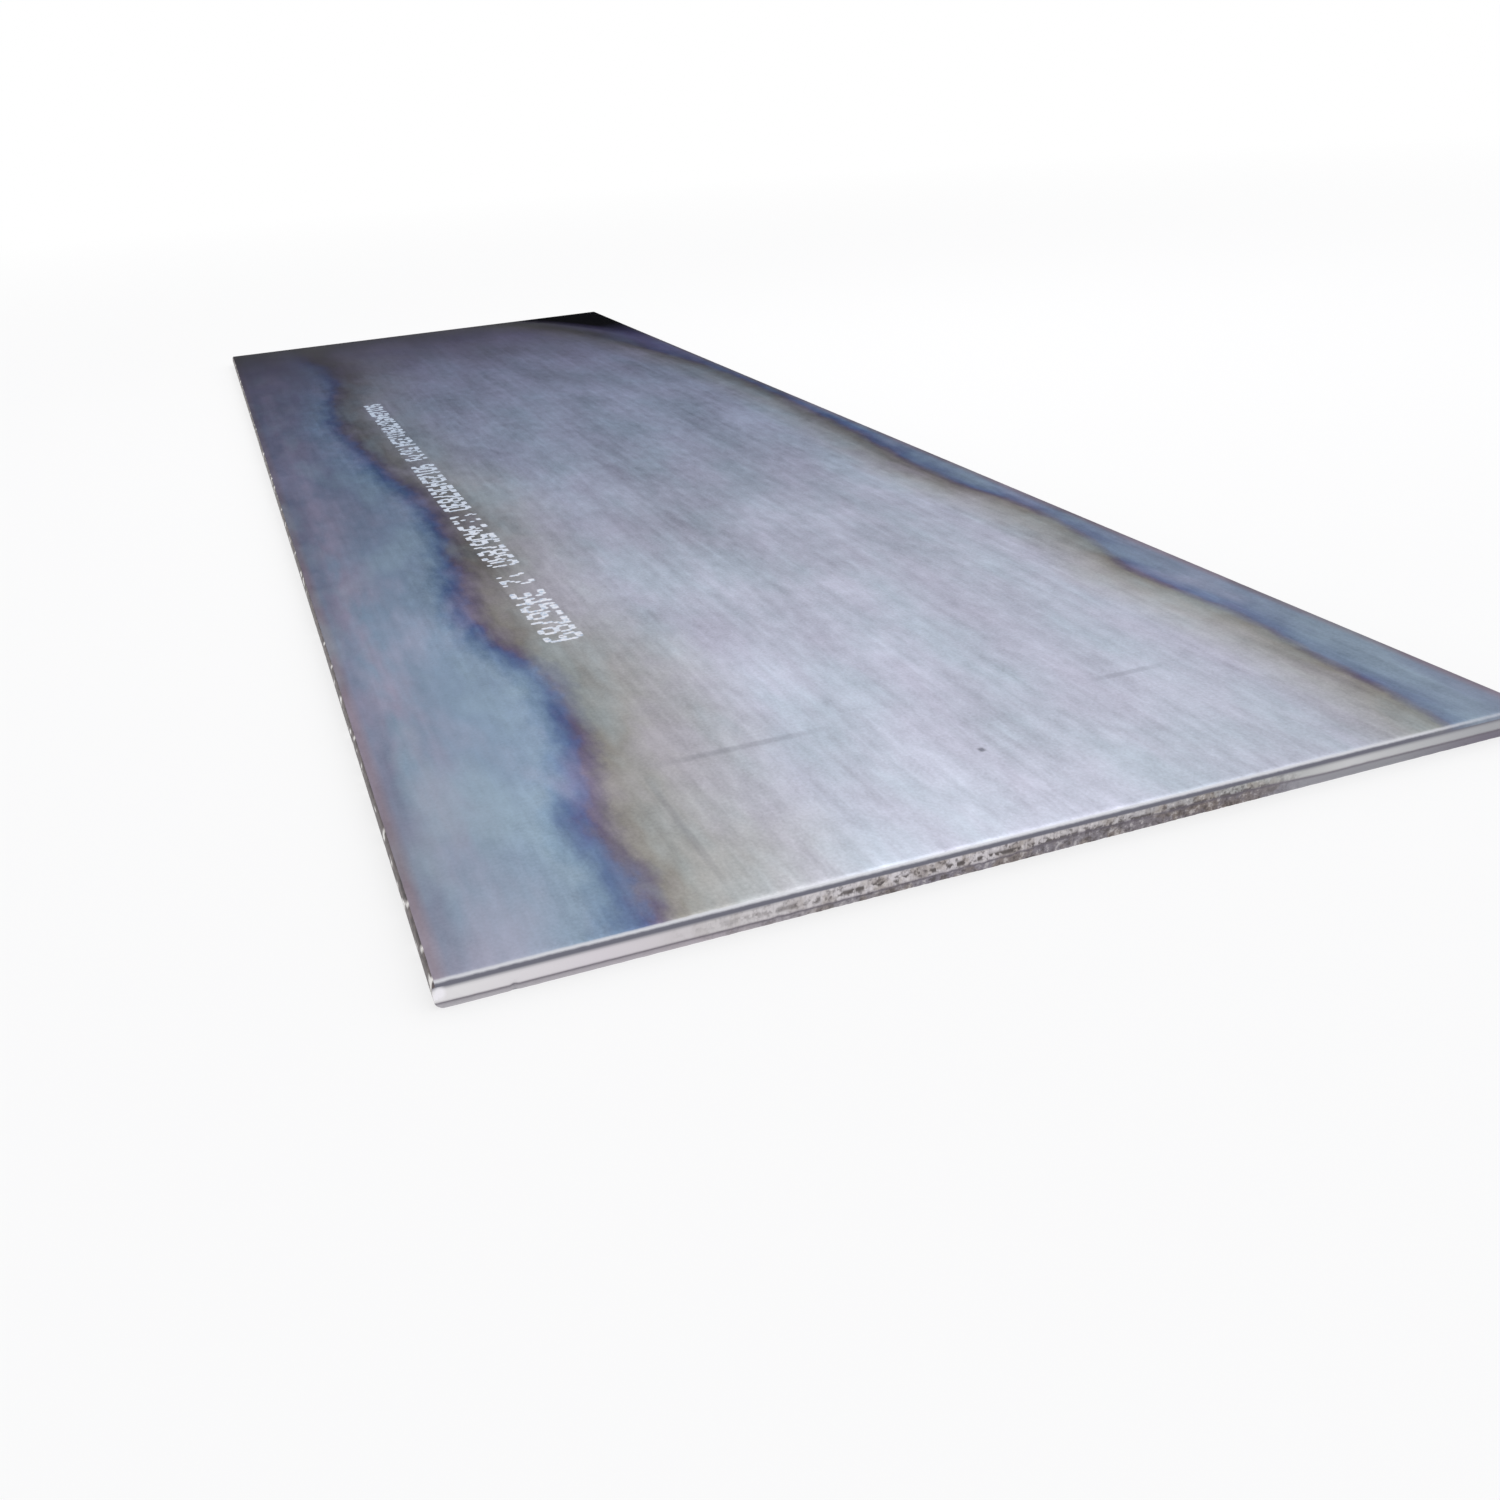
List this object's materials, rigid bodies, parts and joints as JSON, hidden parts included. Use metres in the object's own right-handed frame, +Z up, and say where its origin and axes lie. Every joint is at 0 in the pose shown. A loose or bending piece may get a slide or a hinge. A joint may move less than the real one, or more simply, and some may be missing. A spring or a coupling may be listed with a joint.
{
  "type": "steel plate",
  "caption": "Thick hot-rolled steel plate with mill scale, rounded mill edges along its length and sheared ends.",
  "frame": {"origin": "Middle of the plate's underside, on the floor it lies on.", "axes": "X runs across the rolling direction, Y along the plate's length with the near sheared end at -Y, Z up through the thickness."},
  "size_m": [1.5, 5, 0.035],
  "materials": {
    "rolled_steel": "hot-rolled mill scale, blue-grey with heat tints along both sides, bare bright steel on the sheared ends"
  },
  "bodies": {
    "root": {"steel_plate": "rolled_steel"}
  },
  "joints": []
}
